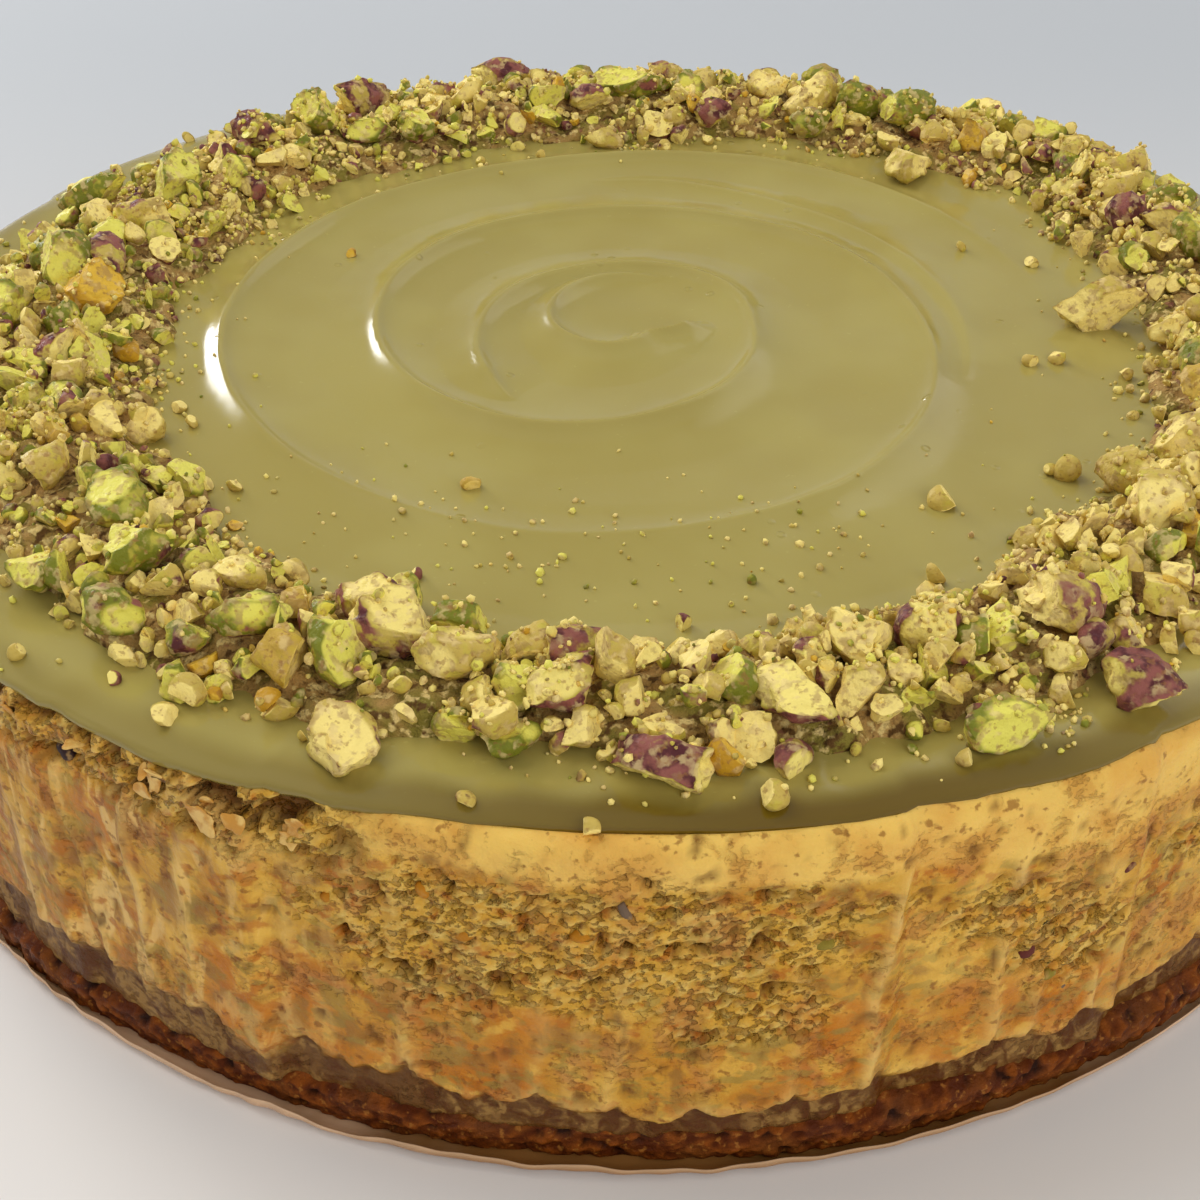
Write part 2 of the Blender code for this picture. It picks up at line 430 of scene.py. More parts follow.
def upright_creases(angle, height, edges):
    """Pale ridges along the panels' edges and fainter ones between them."""
    random = np.random.default_rng(7)
    relief = np.zeros(height.shape)
    extra = random.uniform(0, TURN, 90)
    for place in np.concatenate([edges, extra]):
        main = place in edges
        lean = random.uniform(-0.0009, 0.0009)
        width = random.uniform(0.5, 1.0) * MM
        size = random.uniform(0.20, 0.75) if main else random.uniform(0.10, 0.32)
        top = random.uniform(44, 52) if main else random.uniform(24, 46)
        low = 9 if main else top - random.uniform(8, 18)
        wobble = 0.007 * np.sin(height / (7.5 * MM) + place * 9)
        wobble = wobble + 0.003 * np.sin(height / (2.4 * MM) + place * 5)
        apart = metres_apart(angle, place + lean * (height / MM - 30) + wobble)
        along = smooth((top * MM - height) / (5 * MM)) * smooth((height - low * MM) / (4 * MM))
        relief = np.maximum(relief, size * np.exp(-((apart / width) ** 2)) * along)
    return relief * MM


def small_hollows(angle, height):
    """Small round hollows scattered over the skin, which the material darkens as painted shade."""
    random = np.random.default_rng(12)
    found = np.zeros(height.shape)
    for _ in range(HOLLOWS):
        place = random.uniform(0, TURN)
        level = random.uniform(11, 48) * MM
        size = (0.35 + 0.9 * random.beta(1.2, 3)) * MM
        columns = np.nonzero(np.abs(metres_apart(angle, place)) < 3 * size)[0]
        apart = metres_apart(angle[columns], place) * random.uniform(0.7, 1.4)
        up = height[:, columns] - level
        mark = random.uniform(0.4, 1) * np.exp(-((apart / size) ** 2 + (up / size) ** 2) ** 1.5)
        found[:, columns] = np.maximum(found[:, columns], mark)
    return found


def open_crumb(surface):
    """Relief of torn crumb in mm, with masks of its holes and of the pale flaky edges round them."""
    bend = np.stack([noise(surface, 4, 30 + step) for step in range(3)], axis=-1)
    warped = surface * (1, 1, 1.4) + 1.2 * MM * bend
    large = noise(warped, 2.7, 33) + 0.35 * noise(warped, 1.2, 35)
    small = noise(warped, 1.5, 34)
    holes = smooth((large - 0.24) * 2.8)
    pinholes = smooth((small - 0.28) * 3.0)
    lips = smooth(1 - np.abs(large - 0.08) * 6) * 0.7 + smooth((-small - 0.20) * 3) * 0.5
    relief = 0.35 * np.clip(lips, 0, 1) + 0.25 * small - 1.7 * holes - 0.9 * pinholes
    return relief, np.clip(holes + 0.7 * pinholes, 0, 1), np.clip(lips, 0, 1)


def filling_grid(angles, ring):
    """Height and plain radius of every point: a tucked foot, the wall, the shoulder and a hidden top."""
    foot = (6.2 + 0.8 * layered(ring, 9, 3) + 0.4 * noise(ring, 2.5, 5)) * MM
    wall_top = BRIM - SHOULDER
    wall = foot + np.linspace(0, 1, SIDE_ROWS)[:, None] * (wall_top - foot)
    turn = np.linspace(0, math.pi / 2, SHOULDER_ROWS + 1)[1:, None] + 0 * angles
    one_row = np.ones((1, FILLING_COLUMNS))
    height = np.concatenate([foot[None], wall, wall_top + SHOULDER * np.sin(turn), one_row * FILLING_TOP])
    inset = np.concatenate([one_row * 5 * MM, 0 * wall, SHOULDER * (1 - np.cos(turn)), one_row * 6 * MM])
    return height, side_radius(angles) - inset


def filling_relief(angles, height, above, surface, masks, torn, blurred):
    """How far the surface stands out from the plain side, in metres, and masks of its fine marks."""
    crumb, skin = masks["crumb"], masks["skin"]
    relief, holes, lips = open_crumb(surface)
    caves = smooth(layered(surface * (1, 1, 1.4), 5, 36) * 3.0) * torn
    spots = small_hollows(angles, height) * (1 - crumb)
    creases = upright_creases(angles, height, panel_edges()) * skin * (1 - 0.8 * crumb)
    hem = np.exp(-(((above - 1.0 * MM) / (0.9 * MM)) ** 2)) * (1 - crumb) / blurred
    scars = smooth((noise(surface * (1, 1, 0.8), 2.2, 54) - 0.30) * 3.5)
    scars = scars * smooth((noise(surface, 9, 56) + 0.25) * 2.5) * skin * (1 - crumb)
    swell = 0.45 * noise(surface * (1, 1, 0.6), 14, 51) + 0.20 * noise(surface * (1, 1, 0.8), 5, 52)
    wrinkle = noise(surface * (1, 1, 0.4), 1.6, 53)
    outward = (swell + 0.07 * wrinkle - 0.35 * scars + 0.30 * hem) * MM + creases
    outward += (crumb * (relief - 0.35) - 2.8 * caves - 0.4 * spots) * MM
    outward += (1 - skin) * (0.32 * wrinkle - 1.1) * MM
    fade = np.concatenate([[0], np.ones(SIDE_ROWS), np.linspace(1, 0.3, SHOULDER_ROWS), [0]])
    # The hollow mask is painted shade: how dark to paint the holes, caves and small hollows.
    marks = {
        "hollow_shade": np.maximum(np.maximum(crumb * holes, 0.8 * spots), caves), "flake": crumb * lips,
        "crease": np.clip(creases / (0.55 * MM) + 0.8 * hem, 0, 1), "scar": scars,
    }
    return outward * fade[:, None], marks


def filling_masks(angles, height, above, ring, surface):
    """Masks of skin, open crumb, pale rim, lightened in part as a painted highlight, browned lower part and
    lined part, with how torn the rim is and over how many mm the skin's lower edge fades."""
    blurred = 1.5 + 2.2 * bump(angles, -120, 24) + 1.0 * noise(ring, 16, 63)
    ragged = 0.55 * layered(surface * (1, 1, 0.8), 3.5, 64)
    skin = smooth(above / (blurred * MM) + 0.5 + ragged)
    torn = torn_rim(angles, height)
    patches = crumb_patches(angles, height) + 0.50 * layered(surface * (1, 1, 1.3), 6, 21)
    crumb = np.maximum(smooth(patches * 2.2), torn) * skin
    fair = bump(angles, -61, 12)
    rim_edge = (45.2 - 5.5 * fair + 1.5 * layered(ring, 9, 61)) * MM
    # The pale rim is a paler bake, made lighter still as a painted highlight on the top of the side.
    rim = smooth((height - rim_edge) / (2.2 * MM)) * (1 - torn)
    faded = smooth(0.5 + noise(surface * (1, 1, 0.6), 6, 66)) * (0.55 * fair + 0.15)
    low = smooth((31 * MM - height + 4 * MM * layered(ring, 14, 62)) / (9 * MM))
    lined = bump(angles, -124, 20) + 0.4 * noise(ring, 30, 65) + 0 * height
    rim = np.maximum(rim, faded * (1 - 0.5 * crumb))
    return {"skin": skin, "crumb": crumb, "rim": rim, "low": low, "lined": lined}, torn, blurred


def filling_piece():
    angles, ring = once_round(FILLING_COLUMNS)
    height, radius = filling_grid(angles, ring)
    surface = around(RADIUS, angles, height)
    above = height - lobe_height(angles, panel_edges()) - 0.35 * MM * noise(ring, 2.5, 8)
    masks, torn, blurred = filling_masks(angles, height, above, ring, surface)
    outward, marks = filling_relief(angles, height, above, surface, masks, torn, blurred)
    mesh = turned_mesh("baked_filling", radius + outward, height, angles, FILLING_LOW.z, FILLING_TOP)
    add_piece(mesh, filling_material(), "filling", "filling", **masks, **marks)


def filling_material():
    shader = Shader("baked_filling", (200, 148, 46), 0.45, 0.25)
    broad = shader.noise(14, 3, (1, 1, 1.5), 0.3)
    blotch = shader.noise(5, 6, (1, 1, 1), 0.5)
    other = shader.noise(7, 6, (1, 1, 0.8), 0.4)
    pitting = shader.noise(1.1, 4, (1, 1, 1.3))
    lined = shader.mask("lined")
    paint_baked_skin(shader, broad, blotch, other, lined)
    pores = paint_marks_and_hollow_shade(shader, pitting, other)
    skinned = shader.colour
    film = shader.ramp(shader.noise(2.6, 6, (1, 1, 0.8), 0.8), 0.44, 0.62)
    film = shader.times(film, shader.ramp(broad, 0.38, 0.58, 0.35, 1.0))
    film = shader.larger(film, shader.times(shader.ramp(blotch, 0.42, 0.56), lined))
    shader.colour = shader.mix(film, (88, 46, 8), (152, 114, 58))
    shader.paint_where(pitting, 0.46, 0.60, (96, 60, 18), 0.6)
    shader.paint(shader.mask("skin"), skinned)
    relief = shader.math("SUBTRACT", shader.times(shader.noise(1.3, 4), 0.8), pores)
    shader.add_bump(relief, 0.5 * MM, 0.9)
    return shader.finish(shader.ramp(other, 0.35, 0.65, 0.38, 0.58), soft=0.15)


def paint_baked_skin(shader, broad, blotch, other, lined):
    """Blotches of gold, brown and olive, the lining's streaks, custard, pale ridges and the peach rim,
    partly a painted highlight.
    """
    warmth = shader.plus(broad, shader.times(shader.mask("low"), 0.11))
    shader.paint_where(warmth, 0.44, 0.70, (186, 108, 6))
    shader.paint_where(blotch, 0.50, 0.62, (142, 92, 28), 0.85)
    shader.paint_where(other, 0.52, 0.66, (184, 120, 66), 0.6)
    shader.paint_where(blotch, 0.46, 0.34, (222, 174, 70), 0.75)
    shader.paint_where(shader.noise(4, 6, (1, 1, 1.6), 0.5), 0.53, 0.63, (140, 118, 48), 0.65)
    streaks = shader.noise(5, 6, (1, 1, 0.38), 1.2)
    shader.paint(shader.times(shader.ramp(streaks, 0.50, 0.62, 0.05, 0.7), lined), (236, 196, 118))
    shader.paint(shader.times(shader.ramp(streaks, 0.46, 0.36, 0, 0.6), lined), (144, 86, 34))
    custard = shader.times(shader.mask("crumb"), shader.ramp(other, 0.36, 0.60, 0.75, 0.15))
    shader.paint(custard, (212, 162, 52))
    shader.paint_where(shader.noise(3.2, 4, (1, 1, 1.3), 0.3), 0.56, 0.66, (172, 92, 8), 0.75)
    ridges = shader.times(shader.mask("crease"), shader.ramp(other, 0.36, 0.60, 0.75, 0.25))
    shader.paint(ridges, (228, 190, 110))
    shader.paint(shader.times(shader.mask("flake"), 0.7), (228, 198, 112))
    # Peach rim: partly the rim's own paler bake, partly a painted highlight on the top of the side.
    peach = shader.mix(shader.ramp(broad, 0.40, 0.60), (238, 196, 98), (226, 174, 82))
    peach = shader.mix(shader.ramp(other, 0.50, 0.66, 0, 0.7), peach, (206, 146, 58))
    shader.paint(shader.times(shader.mask("rim"), 0.9), peach)


def paint_marks_and_hollow_shade(shader, pitting, other):
    """Freckles and stains, and painted shade darkening the pores, holes, caves and scars; returns the pores.
    """
    crumb = shader.mask("crumb")
    shader.paint_where(shader.noise(1.5), 0.60, 0.70, (128, 72, 16), 0.65)
    rough_places = shader.larger(crumb, shader.ramp(other, 0.48, 0.60, 0, 0.45))
    pores = shader.times(shader.ramp(pitting, 0.50, 0.62), rough_places)
    # Painted shade: dark brown in the holes, caves, pores and dented scars; the stains below are the crumb's
    # own colour.
    dark = shader.larger(shader.mask("hollow_shade"), shader.times(shader.mask("scar"), 0.75))
    dark = shader.larger(dark, shader.times(pores, 0.55))
    stains = shader.ramp(shader.noise(2.4, 3, (1, 1, 1.2)), 0.58, 0.68, 0, 0.5)
    dark = shader.larger(dark, shader.times(stains, crumb))
    shader.paint(shader.times(dark, 0.9), (96, 52, 6))
    return pores


def rim_flakes():
    """Thin baked flakes curling from the torn stretches of the rim."""
    random = np.random.default_rng(8)
    count = 44
    middle, width = np.array(TORN_RIMS)[random.choice(len(TORN_RIMS), count)].T
    angle = np.radians(middle + random.normal(0, 0.55, count) * width)
    long = random.uniform(0.9, 2.4, count)
    sizes = np.stack([0.25 + 0 * long, long * random.uniform(0.4, 0.8, count), long], axis=-1) * MM
    shapes, faces = balls(3, sizes)
    shapes[..., 0] += 0.25 * shapes[..., 2] ** 2 / long[:, None] / MM
    shapes = roughened(random, shapes, 0.6, 1.3, 9)
    height = random.uniform(45.5, 51.0, count) * MM
    radius = side_radius(angle) + random.uniform(-1.1, -0.2, count) * MM
    turns = rotations(angle, random.normal(0.1, 0.45, count), random.normal(0, 0.8, count))
    mesh = joined_mesh("rim_flakes", shapes, faces, turns, around(radius, angle, height))
    shader = Shader("rim_flakes", (224, 184, 104), 0.5)
    shader.paint_where(shader.noise(2), 0.4, 0.6, (196, 138, 52))
    shader.add_bump(shader.noise(0.8), 0.2 * MM)
    add_piece(mesh, shader.finish(), "filling")


BAKED_TONES = {
    "dark": (52, 34, 34), "purple": (96, 44, 36), "grey": (112, 92, 74),
    "green": (140, 122, 44), "orange": (178, 116, 24),
}

# Nut pieces baked into the side: place in degrees, height, half length and half width in mm, colour name
BAKED_NUTS = (
    (-125, 46.0, 1.5, 1.1, "dark"), (-65.8, 26.5, 1.3, 1.1, "purple"), (-63.0, 19.0, 1.2, 0.8, "grey"),
    (-64.0, 21.5, 1.4, 0.7, "green"), (-101.2, 42.5, 1.1, 0.7, "orange"), (-98.8, 37.0, 1.4, 0.9, "orange"),
    (-92.5, 38.5, 1.2, 0.7, "orange"), (-106.8, 38.5, 1.3, 0.8, "orange"), (-90.0, 42.5, 1.4, 0.7, "grey"),
    (-79.0, 36.0, 1.3, 0.8, "green"), (-59.5, 35.5, 0.9, 1.2, "purple"),
)


def baked_nuts():
    """Nut pieces baked into the filling, their faces level with the torn side."""
    random = np.random.default_rng(9)
    names = list(BAKED_TONES)
    rows = list(BAKED_NUTS)
    for _ in range(34):
        place = random.uniform(-50, 228)
        name = names[random.choice(5, p=(0.1, 0.2, 0.2, 0.25, 0.25))]
        height, long, wide = (random.uniform(*reach) for reach in ((18, 46), (0.8, 1.5), (0.6, 1.0)))
        rows.append((place, height, long, wide, name))
    places, heights, lengths, widths, looks = zip(*rows)
    shapes, faces = balls(3, np.stack([np.full(len(rows), 0.8), lengths, widths], axis=-1) * MM)
    shapes = roughened(random, shapes, 0.22, 1.1, 10)
    angle = np.radians(places)
    middles = around(side_radius(angle) - 0.75 * MM, angle, np.array(heights) * MM)
    turns = rotations(angle, 0 * angle, random.normal(0, 0.6, len(rows)))
    mesh = joined_mesh("baked_nuts", shapes, faces, turns, middles)
    tones = np.repeat([names.index(look) for look in looks], shapes.shape[1])
    add_piece(mesh, baked_nut_material(), "filling", tone=tones)


def baked_nut_material():
    dark, *others = BAKED_TONES.values()
    shader = Shader("baked_nuts", dark, 0.55, 0.2)
    tone = shader.mask("tone")
    for step, colour in enumerate(others):
        shader.paint_where(tone, step + 0.5, step + 0.6, colour)
    shader.paint_where(shader.noise(1.5), 0.55, 0.7, (190, 150, 90), 0.5)
    shader.add_bump(shader.noise(0.7), 0.15 * MM)
    return shader.finish()


# ---- crumb base

CRUST_COLUMNS = 1150
CRUST_ROWS = 24


def crust_piece():
    angles, _ = once_round(CRUST_COLUMNS)
    slow = 0.4 * np.sin(5 * angles + 1.4) + 0.3 * np.sin(13 * angles + 0.3)
    top = CRUST_HIGH.z - 1.2 * MM
    share = np.linspace(0, 1, CRUST_ROWS)[:, None]
    height = CRUST_LOW.z + share * (top - CRUST_LOW.z) + 0 * angles
    tuck = 1 - np.sin(np.clip(share * 1.15 + 0.14, 0, 1) * math.pi / 2) + 1.5 * smooth((share - 0.78) * 5)
    surface = around(RADIUS, angles, height)
    lumps = noise(surface, 4.5, 71)
    grains = noise(surface, 1.6, 72) + 0.7 * noise(surface, 0.9, 73)
    pits = smooth((noise(surface, 1.9, 75) - 0.22) * 3)
    radius = RADIUS + (slow - 0.1 - tuck + 0.35 * lumps + 0.40 * grains - 0.75 * pits) * MM
    radius[0] = RADIUS - 4 * MM
    mesh = turned_mesh("crumb_base", radius, height, angles, CRUST_LOW.z, top)
    # The pit mask also carries painted shade: the crust's pits are painted near black.
    add_piece(mesh, crust_material(), "crust", "crust", pit=pits, grain=grains * 0.5 + 0.5)


def crust_material():
    shader = Shader("crumb_base", (80, 32, 4), 0.65, 0.2)
    shader.paint_where(shader.mask("grain"), 0.30, 0.85, (130, 66, 14))
    shader.paint_where(shader.noise(9, 4), 0.46, 0.64, (112, 62, 20), 0.6)
    shader.paint_where(shader.noise(1), 0.58, 0.70, (160, 102, 40), 0.7)
    # Painted shade: the pits in the crumb base are painted near black.
    shader.paint(shader.mask("pit"), (40, 13, 2))
    shader.add_bump(shader.noise(0.6, 4), 0.4 * MM)
    return shader.finish(shader.ramp(shader.noise(5, 2), 0.4, 0.6, 0.5, 0.8))


# ---- baking paper

PAPER_COLUMNS = 900
PAPER_ROWS = 9
PAPER_HALF = 0.084 * MM


def paper_piece():
    angles, ring = once_round(PAPER_COLUMNS)
    shown = 1 - 0.85 * bump(angles, -45, 30)
    frill = np.sin(130 * angles + 6 * noise(ring, 22, 80)) * (0.4 + 0.6 * noise(ring, 15, 81))
    frill = frill + 1.0 * noise(ring, 4.0, 82)
    reach = RADIUS + (0.4 + 0.45 * shown + 0.9 * bump(angles, -88, 28) + 0.30 * frill * shown) * MM
    rise = (1.0 + shown * (1.1 + 1.2 * noise(ring, 6, 83) + 0.25 * frill)) * MM
    share = np.linspace(0, 1, PAPER_ROWS)[:, None]
    inner = RADIUS - 2.0 * MM
    radius = inner + np.sin(share * math.pi / 2) ** 0.7 * (reach - inner)
    height = 0.15 * MM + rise * share ** 2.0
    under = np.concatenate([radius, (radius - PAPER_HALF)[::-1]])
    over = np.concatenate([height - PAPER_HALF, (height + PAPER_HALF)[::-1]])
    top = CRUST_LOW.z - 0.1 * MM
    over[0] = 0.0
    over[-1] = top
    mesh = turned_mesh("baking_paper", under, np.maximum(over, 0), angles, 0.0, top)
    hem = np.concatenate([share, share[::-1]]) ** 6 + 0 * under
    # Grease stains and painted shade: the paper is painted darker brown towards the front, where the cake
    # shades it.
    greasy = bump(angles, -82, 26) + 0.35 * noise(ring, 20, 84) + 0 * under
    add_piece(mesh, paper_material(), "paper", "paper", hem=hem, greasy=greasy)


def paper_material():
    shader = Shader("baking_paper", (214, 170, 132), 0.45)
    # Darker brown for grease, and painted shade towards the front.
    shader.paint_where(shader.plus(shader.mask("greasy"), shader.noise(9)), 0.45, 1.25, (158, 106, 52))
    shader.paint(shader.times(shader.mask("hem"), 0.5), (222, 188, 150))
    shader.add_bump(shader.noise(2.5), 0.2 * MM, 0.5)
    return shader.finish(soft=0.1)


# ---- pistachio cream

CREAM_COLUMNS = 420
SWIRL_RINGS = 150
PLAIN_RINGS = 34
SWIRL_EDGE = 0.66
SWIRL_HEIGHT = 2.5 * MM
CREST_HALF = 0.30 * MM
SHARP_SHARE = 0.45


def stroke_radius(radii, position):
    """Radius of a knife stroke, smoothly through its listed radii; position counts sixths of a turn."""
    radii = np.array(radii)
    last = len(radii) - 1
    position = np.clip(position, 0, last)
    index = np.minimum(position.astype(int), last - 1)
    share = position - index
    before, start, end, after = (radii[np.clip(index + step, 0, last)] for step in (-1, 0, 1, 2))
    bend = 2 * before - 5 * start + 4 * end - after
    twist = 3 * start - before - 3 * end + after
    return RADIUS * (start + share * (end - before + share * (bend + share * twist)) / 2)


def swirl_relief(radius, angle):
    """Ridges of the knife's strokes: sharp crests with hollow sides, fading at both ends of a stroke."""
    relief = np.zeros(radius.shape)
    smeared = bump(angle, -98, 40) * smooth((radius - 0.42 * RADIUS) / (4 * MM))
    for start, radii, force in (HOOK, SPIRAL, SMEAR):
        last = len(radii) - 1
        position = ((start - np.degrees(angle)) % 360) / SWIRL_STEP
        while position.min() <= last:
            crest = stroke_radius(radii, position)
            strength = force * smooth(2 * position) * smooth((last - position) / 1.5)
            outside = radius > crest
            apart = (np.hypot(radius - crest, CREST_HALF) - CREST_HALF) / MM
            steep = SHARP_SHARE * (1 - 0.9 * smeared) * np.exp(-apart / np.where(outside, 2.4, 1.2))
            gentle = (1 - SHARP_SHARE - 0.15 * smeared) * np.exp(-apart / np.where(outside, 5.0, 7.0))
            relief = np.maximum(relief, strength * (steep + gentle))
            position = position + 360 / SWIRL_STEP
    return relief


def cream_height(radius, angle):
    """The top of the cream over any place on the cake."""
    surface = around(radius, angle, 0 * radius)
    edge = cream_edge(angle)
    relief = SWIRL_HEIGHT * (swirl_relief(radius, angle) - 0.25)
    outer = smooth((radius - 0.86 * RADIUS) / (6 * MM))
    soft = 0.35 * noise(surface, 26, 91) + (0.12 + 0.4 * outer) * noise(surface, 9, 92)
    inside = smooth((0.70 * RADIUS - radius) / (6 * MM))
    lip = np.clip((edge - radius) / (6.5 * MM), 0, 1)
    lip_drop = 1.2 * MM * (1 - np.sqrt(1 - (1 - lip) ** 2))
    return CREAM_TOP - 0.2 * MM + relief * inside + soft * MM * smooth(lip) - lip_drop


def cream_piece():
    angles, ring = once_round(CREAM_COLUMNS)
    edge = cream_edge(angles) + 0.5 * MM * layered(ring, 9, 95)
    swirl_edge = SWIRL_EDGE * RADIUS
    middle = np.linspace(0, swirl_edge, SWIRL_RINGS + 1)[1:, None] + 0 * angles
    share = np.linspace(0, 1, PLAIN_RINGS + 1)[1:, None]
    outer = swirl_edge + (edge - 0.05 * MM - swirl_edge) * (1 - (1 - share) ** 1.6)
    top_radius = np.concatenate([middle, outer])[::-1]
    top = cream_height(top_radius, np.broadcast_to(angles, top_radius.shape))
    bottom = FILLING_TOP - 0.5 * MM
    lip_radius = edge + np.array([-9, -4, -0.3, 0.1])[:, None] * MM
    lip = np.stack([0 * edge + bottom, 0 * edge + BRIM - 0.5 * MM, top[0] - 1.2 * MM, top[0] - 0.55 * MM])
    radius = np.concatenate([lip_radius, top_radius])
    height = np.concatenate([lip, top])
    mesh = turned_mesh("pistachio_cream", radius, height, angles, bottom, top[-1].mean())
    # The cream's edge, darkest towards the front: partly thin cream over the filling, partly painted shade.
    thin = smooth((radius - edge + 6.5 * MM + 1.5 * MM * noise(ring, 9, 96)) / (4.5 * MM))
    thin = thin * (0.30 + 0.70 * bump(angles, -80, 30))
    add_piece(mesh, cream_material(), "cream", "cream", thin=thin)


def cream_material():
    shader = Shader("pistachio_cream", (163, 147, 76), 0.2)
    shader.paint_where(shader.noise(22, 2), 0.38, 0.62, (168, 153, 82))
    shader.paint_where(shader.noise(0.9, 2), 0.70, 0.78, (190, 178, 104), 0.25)
    # Dark olive at the edge: partly thin cream, partly painted shade towards the front.
    shader.paint(shader.times(shader.mask("thin"), 0.95), (98, 74, 0))
    bubbles = shader.ramp(shader.cells(6), 0.14, 0.05)
    bubbles = shader.times(bubbles, shader.ramp(shader.noise(17, 2), 0.52, 0.56))
    shader.add_bump(shader.plus(shader.times(shader.noise(2.4, 2), 0.15), bubbles), 0.25 * MM, 0.7)
    return shader.finish(shader.ramp(shader.noise(12, 2), 0.35, 0.65, 0.13, 0.21), soft=0.1)


# ---- nuts

def nut_inner(angle):
    drift = -0.055 * bump(angle, 180, 40) + 0.062 * bump(angle, -90, 30) + 0.062 * bump(angle, 47, 28)
    uneven = 0.010 * np.sin(11 * angle + 0.5) + 0.007 * np.sin(19 * angle + 1.7)
    return RADIUS * (0.640 + drift + uneven)


def nut_outer(angle):
    drift = 0.020 * bump(angle, 20, 50) - 0.015 * bump(angle, -100, 25)
    uneven = 0.010 * np.sin(9 * angle + 1.0) + 0.008 * np.sin(16 * angle)
    return RADIUS * (0.940 + drift + uneven)


class Heap:
    """Heights of the growing heap over a square grid, so that each new piece lands on those below it."""

    CELL = 0.5 * MM
    HALF = 244

    def __init__(self):
        steps = (np.arange(2 * self.HALF + 1) - self.HALF) * self.CELL
        self.x, self.y = np.meshgrid(steps, steps, indexing="ij")
        self.radius = np.hypot(self.x, self.y)
        self.angle = np.arctan2(self.y, self.x)
        cream = cream_height(self.radius, self.angle)
        self.top = np.where(self.radius < side_radius(self.angle) - 1.5 * MM, cream, CREAM_TOP - 4 * MM)
        inner = nut_inner(self.angle)
        share = (self.radius - inner) / (nut_outer(self.angle) - inner)
        self.wanted = CREAM_TOP + 8.5 * MM * np.sin(math.pi * np.clip(share, 0, 1)) ** 0.8

    def cells(self, *places):
        steps = (np.rint(along / self.CELL).astype(int) + self.HALF for along in places)
        return tuple(np.clip(step, 0, 2 * self.HALF) for step in steps)

    def land(self, shape, places, settle):
        """Rests a piece on the heap at whichever place keeps it lowest, and returns its middle."""
        lower = shape[shape[:, 2] < np.median(shape[:, 2])]
        best = None
        for x, y in places:
            support = self.top[self.cells(lower[:, 0] + x, lower[:, 1] + y)] - lower[:, 2]
            z = np.quantile(support, settle)
            proud = z - self.wanted[self.cells(np.array(x), np.array(y))]
            if best is None or proud < best[0]:
                best = (proud, x, y, z)
        _, x, y, z = best
        np.maximum.at(self.top, self.cells(shape[:, 0] + x, shape[:, 1] + y), z + shape[:, 2])
        return x, y, z


def bed_rise(share, points):
    """Height of the bed of fine crumbs above the cream; share runs from the inner edge to the outer."""
    dome = np.clip(np.sin(math.pi * np.clip(share, 0, 1)), 0, 1) ** 0.7
    lumps = np.clip(1 + 0.55 * layered(points, 12, 101) + 0.35 * layered(points, 3.6, 104), 0.1, 3)
    grains = 0.40 * noise(points, 1.2, 107)
    ragged = np.clip(dome + 0.9 * noise(points, 6, 109) * (1 - dome), 0, 1)
    return (3.6 * ragged * lumps + grains * smooth(ragged * 3)) * MM - 0.8 * MM * (1 - smooth(ragged * 1.6))


BED_COLUMNS = 720
BED_ROWS = 38
BED_INSIDE = 3.5 * MM
BED_OUTSIDE = 5.0 * MM


def bed_piece(heap):
    angles, _ = once_round(BED_COLUMNS)
    share = np.linspace(0, 1, BED_ROWS)[:, None]
    inner = nut_inner(angles) + BED_INSIDE
    outer = nut_outer(angles) - BED_OUTSIDE
    radius = outer + share * (inner - outer)
    rise = bed_rise(1 - share, around(radius, angles, 0))
    height = cream_height(radius, np.broadcast_to(angles, radius.shape)) + rise
    radius = np.concatenate([[inner, outer], radius])
    height = np.concatenate([np.full((2, BED_COLUMNS), CREAM_TOP - 1.4 * MM), height])
    points = around(radius, angles, height).reshape(-1, 3)
    mesh = build_mesh("nut_bed", points, bands(len(radius), BED_COLUMNS, True))
    inner = nut_inner(heap.angle) + BED_INSIDE
    share = (heap.radius - inner) / (nut_outer(heap.angle) - BED_OUTSIDE - inner)
    rise = np.maximum(bed_rise(share, np.stack([heap.x, heap.y, 0 * heap.x], axis=-1)), 0)
    heap.top = np.where((share > 0) & (share < 1), heap.top + rise, heap.top)
    add_piece(mesh, bed_material(), "nuts", "nut_ring")


def bed_material():
    shader = Shader("nut_bed", (176, 138, 78), 0.85)
    shader.paint_where(shader.noise(6), 0.44, 0.62, (132, 118, 46))
    # Painted highlight: pale tan spots over the bed.
    shader.paint_where(shader.noise(1.4), 0.52, 0.64, (226, 198, 126))
    # Painted shadow: dark brown spots for the gaps between crumbs.
    shader.paint_where(shader.noise(1.6), 0.46, 0.34, (96, 66, 28))
    shader.paint_where(shader.noise(2.3, 2), 0.64, 0.70, (132, 76, 60), 0.7)
    shader.add_bump(shader.noise(0.9, 4), 1.0 * MM)
    return shader.finish()


def balls(levels, sizes):
    """A ball for each row of three half sizes, as the points of each, and the triangles of one."""
    mesh = bmesh.new()
    bmesh.ops.create_icosphere(mesh, subdivisions=levels, radius=1)
    points = np.array([v.co[:] for v in mesh.verts])
    faces = np.array([[v.index for v in f.verts] for f in mesh.faces])
    mesh.free()
    return points[None] * sizes[:, None, :], faces


def roughened(random, shapes, amount, lump, seed, layers=1):
    """Shapes swollen and dented by noise with lumps of a size in mm, each in its own way."""
    seeds = random.uniform(-1, 1, (len(shapes), 1, 3))
    return shapes * (1 + amount * layered(shapes + seeds, lump, seed, layers))[..., None]


